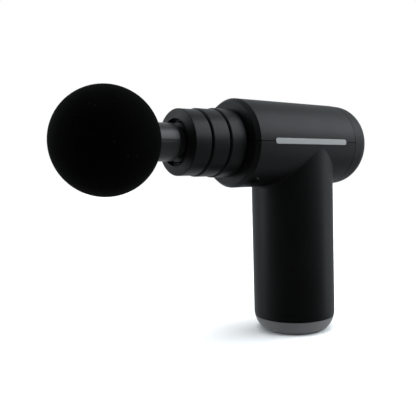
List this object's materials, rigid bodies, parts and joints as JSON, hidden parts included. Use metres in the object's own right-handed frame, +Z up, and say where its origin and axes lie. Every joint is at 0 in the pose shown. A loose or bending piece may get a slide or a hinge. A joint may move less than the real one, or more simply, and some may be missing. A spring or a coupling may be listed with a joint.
{
  "type": "massage gun",
  "caption": "Pistol-shaped percussion massager: foam ball head on a stepped nose, round barrel with side trim, cylindrical handle that stands on a narrowed foot.",
  "frame": {"origin": "centre of the handle's foot, on the surface it stands on", "axes": "+Z up along the handle, -X along the barrel towards the ball head, +Y to the gun's right seen from behind the ball"},
  "size_m": [0.1807, 0.0494, 0.1287],
  "materials": {
    "foam": "fine closed-cell foam with a matte skin",
    "stem_plastic": "satin moulded plastic",
    "seal_rubber": "matte rubber",
    "shell_plastic": "soft-touch matte charcoal",
    "inner_plastic": "plain moulded plastic",
    "bush_plastic": "natural acetal",
    "screw_steel": "plated steel",
    "plunger_metal": "dark anodised, polished",
    "rod_metal": "machined",
    "bearing_steel": "ground steel",
    "frame_metal": "die cast",
    "stator_steel": "stacked laminations",
    "copper": "enamelled copper wire",
    "magnet": "nickel-plated magnet",
    "trim_silver": "satin silver",
    "panel_gloss": "gloss black",
    "light_pipe": "clear, frosted",
    "button_plastic": "matte dark grey",
    "circuit_board": "green solder mask",
    "chip": "moulded black",
    "cell_can": "sleeved battery cell",
    "contact_metal": "nickel strip",
    "port_metal": "stamped steel",
    "base_grey": "satin gunmetal",
    "base_black": "matte black"
  },
  "bodies": {
    "housing": {"nose_ring_front": "shell_plastic", "nose_ring_middle": "shell_plastic", "nose_ring_rear": "shell_plastic", "nose_tube": "inner_plastic", "guide_housing": "inner_plastic", "guide_bush_front": "bush_plastic", "guide_bush_rear": "bush_plastic", "nose_screws": "screw_steel", "drive_frame": "frame_metal", "shaft_bearing_lower": "bearing_steel", "shaft_bearing_upper": "bearing_steel", "stator_core": "stator_steel", "stator_windings": "copper", "frame_cushion": "seal_rubber", "upper_shell": "shell_plastic", "lower_shell": "shell_plastic", "trim_strip_right": "trim_silver", "trim_strip_left": "trim_silver", "shell_screws": "screw_steel", "rear_cap": "shell_plastic", "control_panel": "panel_gloss", "speed_lights": "light_pipe", "control_board": "circuit_board", "tact_switch": "chip", "board_chips": "chip", "board_screws": "screw_steel", "battery_cell_left": "cell_can", "battery_cell_right": "cell_can", "battery_holder_lower": "inner_plastic", "battery_holder_upper": "inner_plastic", "cell_contacts": "contact_metal", "main_board": "circuit_board", "main_board_parts": "chip", "charge_port": "port_metal", "base_ring": "base_grey", "base_plate": "base_black"},
    "head": {"massage_ball": "foam", "head_stem": "stem_plastic", "stem_o_rings": "seal_rubber"},
    "plunger": {"plunger": "plunger_metal"},
    "rod": {"connecting_rod": "rod_metal", "rod_bearing": "bearing_steel", "wrist_pin": "screw_steel"},
    "crank": {"crank_disc": "rod_metal", "crank_pin": "screw_steel", "crank_clip": "screw_steel", "motor_shaft": "screw_steel", "rotor_can": "rod_metal", "rotor_magnets": "magnet"},
    "power_button": {"power_button": "button_plastic"}
  },
  "joints": [
    {"name": "motor_spin", "type": "hinge", "parent": "housing", "child": "crank", "pos_m": [0, 0, 0.104], "axis": [0, 0, 1], "continuous": true},
    {"name": "rod_swing", "type": "hinge", "parent": "crank", "child": "rod", "pos_m": [-0.003, 0, 0.104], "axis": [0, 0, 1], "continuous": true},
    {"name": "plunger_stroke", "type": "slide", "parent": "housing", "child": "plunger", "axis": [1, 0, 0], "range_m": [0, 0.006]},
    {"name": "head_release", "type": "slide", "parent": "plunger", "child": "head", "axis": [-1, 0, 0], "range_m": [0, 0.03]},
    {"name": "power_button_press", "type": "slide", "parent": "housing", "child": "power_button", "axis": [-1, 0, 0], "range_m": [0, 0.0006], "stiffness_N_per_m": 800}
  ],
  "couplings": [
    {"joint": "rod_swing", "follows": "motor_spin", "ratio": -1}
  ]
}
